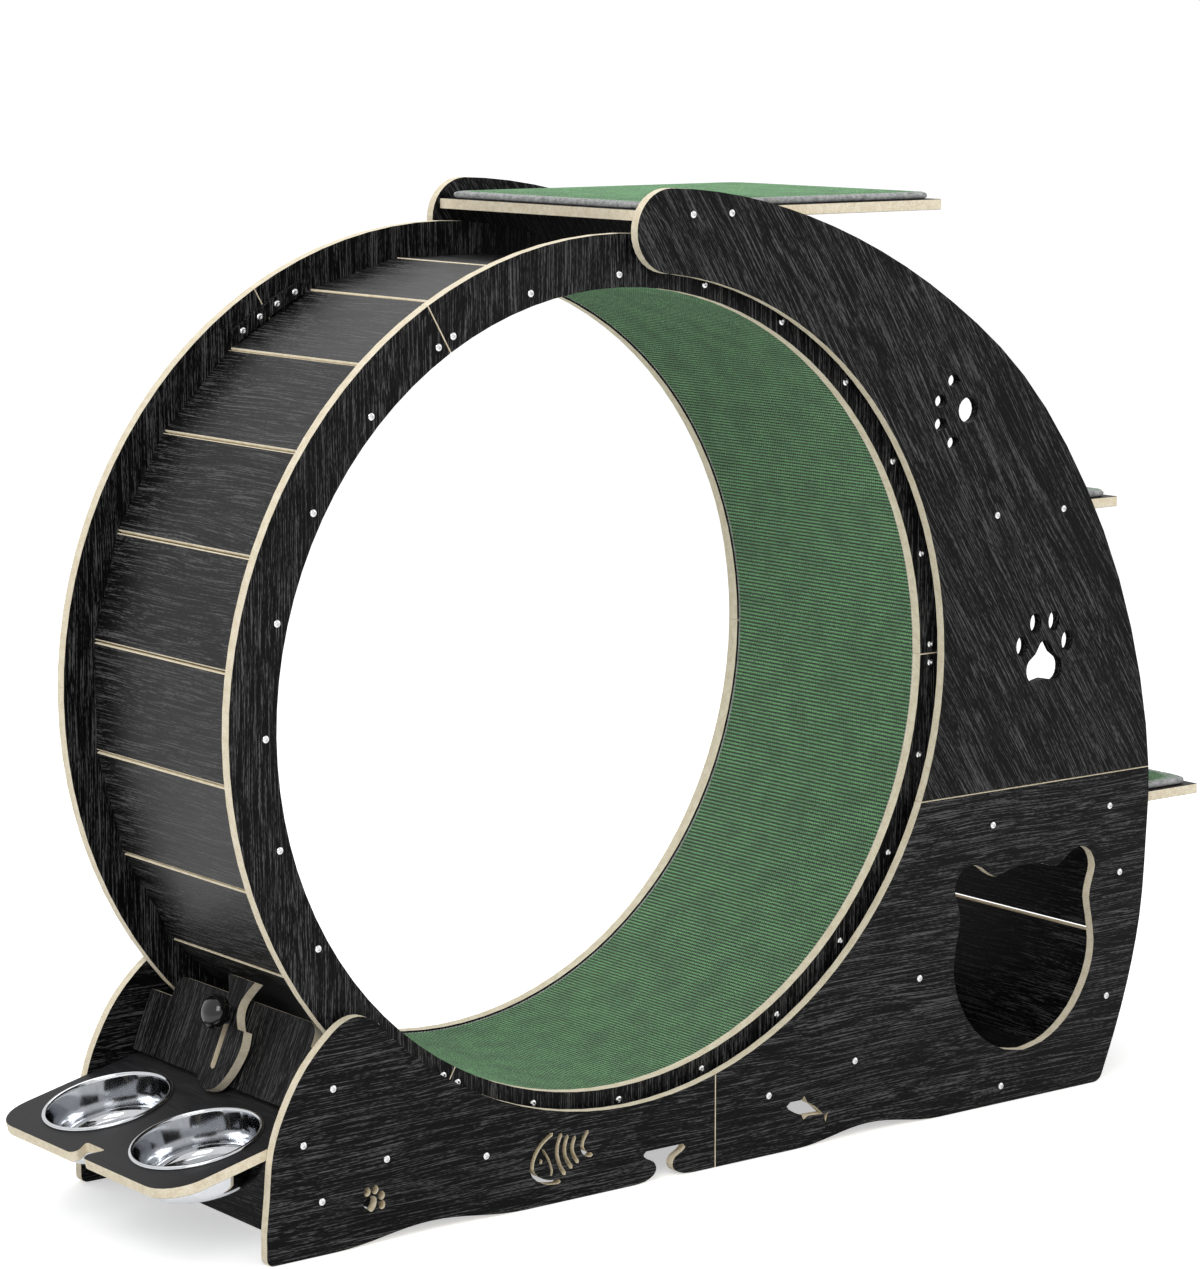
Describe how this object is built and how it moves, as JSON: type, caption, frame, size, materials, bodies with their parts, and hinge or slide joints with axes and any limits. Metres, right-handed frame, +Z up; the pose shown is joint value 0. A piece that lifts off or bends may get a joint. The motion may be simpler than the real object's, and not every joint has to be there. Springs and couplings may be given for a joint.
{
  "type": "cat exercise wheel",
  "caption": "Running wheel of black boards with a green carpet on rollers, in a stand with a sleeping house, padded steps, a top platform and a tilted bowl station with a wheel lock.",
  "frame": {"origin": "on the floor, in the middle of the whole length and width", "axes": "+X towards the sleeping house and the steps, -X towards the bowls, +Y across the wheel along its axle line, +Z up"},
  "size_m": [1.4816, 0.3928, 1.0979],
  "materials": {
    "black_board": "black wood-grain laminate on boards with raw light edges",
    "pad_felt": "grey felt under a short green pile",
    "running_turf": "ribbed green carpet",
    "axle_steel": "plain bright rod",
    "roller_rubber": "satin black",
    "knob_plastic": "gloss black",
    "bowl_steel": "polished stainless steel"
  },
  "bodies": {
    "stand": {"near_front_base_panel": "black_board", "near_rear_base_panel": "black_board", "near_arch_panel": "black_board", "far_front_base_panel": "black_board", "far_rear_base_panel": "black_board", "far_arch_panel": "black_board", "near_base_joiner": "black_board", "near_arch_joiner": "black_board", "far_base_joiner": "black_board", "far_arch_joiner": "black_board", "top_platform": "black_board", "upper_step": "black_board", "lower_step": "black_board", "front_tie_board": "black_board", "rear_tie_board": "black_board", "front_beam": "black_board", "house_front_wall": "black_board", "house_back_lower": "black_board", "house_back_upper": "black_board", "house_floor": "black_board", "bowl_plate": "black_board", "leaning_board": "black_board", "top_platform_pad": "pad_felt", "upper_step_pad": "pad_felt", "lower_step_pad": "pad_felt", "front_roller_axle": "axle_steel", "rear_roller_axle": "axle_steel"},
    "wheel": {"near_ring_1": "black_board", "near_ring_2": "black_board", "near_ring_3": "black_board", "far_ring_1": "black_board", "far_ring_2": "black_board", "far_ring_3": "black_board", "near_ring_joiner_1": "black_board", "near_ring_joiner_2": "black_board", "near_ring_joiner_3": "black_board", "far_ring_joiner_1": "black_board", "far_ring_joiner_2": "black_board", "far_ring_joiner_3": "black_board", "slats_01": "black_board", "slats_02": "black_board", "slats_03": "black_board", "slats_04": "black_board", "slats_05": "black_board", "slats_06": "black_board", "slats_07": "black_board", "slats_08": "black_board", "slats_09": "black_board", "slats_10": "black_board", "slats_11": "black_board", "slats_12": "black_board", "running_carpet": "running_turf"},
    "front_near_roller": {"front_near_roller": "roller_rubber"},
    "front_far_roller": {"front_far_roller": "roller_rubber"},
    "rear_near_roller": {"rear_near_roller": "roller_rubber"},
    "rear_far_roller": {"rear_far_roller": "roller_rubber"},
    "lock_lever": {"lock_lever": "black_board"},
    "lock_knob": {"lock_knob": "knob_plastic"},
    "near_bowl": {"near_bowl": "bowl_steel"},
    "far_bowl": {"far_bowl": "bowl_steel"}
  },
  "joints": [
    {"name": "wheel_spin", "type": "hinge", "parent": "stand", "child": "wheel", "pos_m": [-0.15318, 0, 0.5505], "axis": [0, 1, 0], "continuous": true},
    {"name": "front_near_roller_spin", "type": "hinge", "parent": "stand", "child": "front_near_roller", "pos_m": [-0.35111, -0.16655, 0.07029], "axis": [0, 1, 0], "continuous": true},
    {"name": "front_far_roller_spin", "type": "hinge", "parent": "stand", "child": "front_far_roller", "pos_m": [-0.35111, 0.16655, 0.07029], "axis": [0, 1, 0], "continuous": true},
    {"name": "rear_near_roller_spin", "type": "hinge", "parent": "stand", "child": "rear_near_roller", "pos_m": [0.04475, -0.16655, 0.07029], "axis": [0, 1, 0], "continuous": true},
    {"name": "rear_far_roller_spin", "type": "hinge", "parent": "stand", "child": "rear_far_roller", "pos_m": [0.04475, 0.16655, 0.07029], "axis": [0, 1, 0], "continuous": true},
    {"name": "lock_slide", "type": "slide", "parent": "stand", "child": "lock_lever", "axis": [0.3843, 0, 0.9232], "range_m": [0, 0.0113]},
    {"name": "lock_knob_turn", "type": "hinge", "parent": "stand", "child": "lock_knob", "pos_m": [-0.54364, 0, 0.21365], "axis": [-0.9232, 0, 0.3843], "continuous": true},
    {"name": "near_bowl_lift", "type": "slide", "parent": "stand", "child": "near_bowl", "axis": [-0.2258, 0, 0.9742], "range_m": [0, 0.06]},
    {"name": "far_bowl_lift", "type": "slide", "parent": "stand", "child": "far_bowl", "axis": [-0.2258, 0, 0.9742], "range_m": [0, 0.06]}
  ],
  "couplings": [
    {"joint": "front_near_roller_spin", "follows": "wheel_spin", "ratio": -26.178},
    {"joint": "front_far_roller_spin", "follows": "wheel_spin", "ratio": -26.178},
    {"joint": "rear_near_roller_spin", "follows": "wheel_spin", "ratio": -26.178},
    {"joint": "rear_far_roller_spin", "follows": "wheel_spin", "ratio": -26.178}
  ]
}
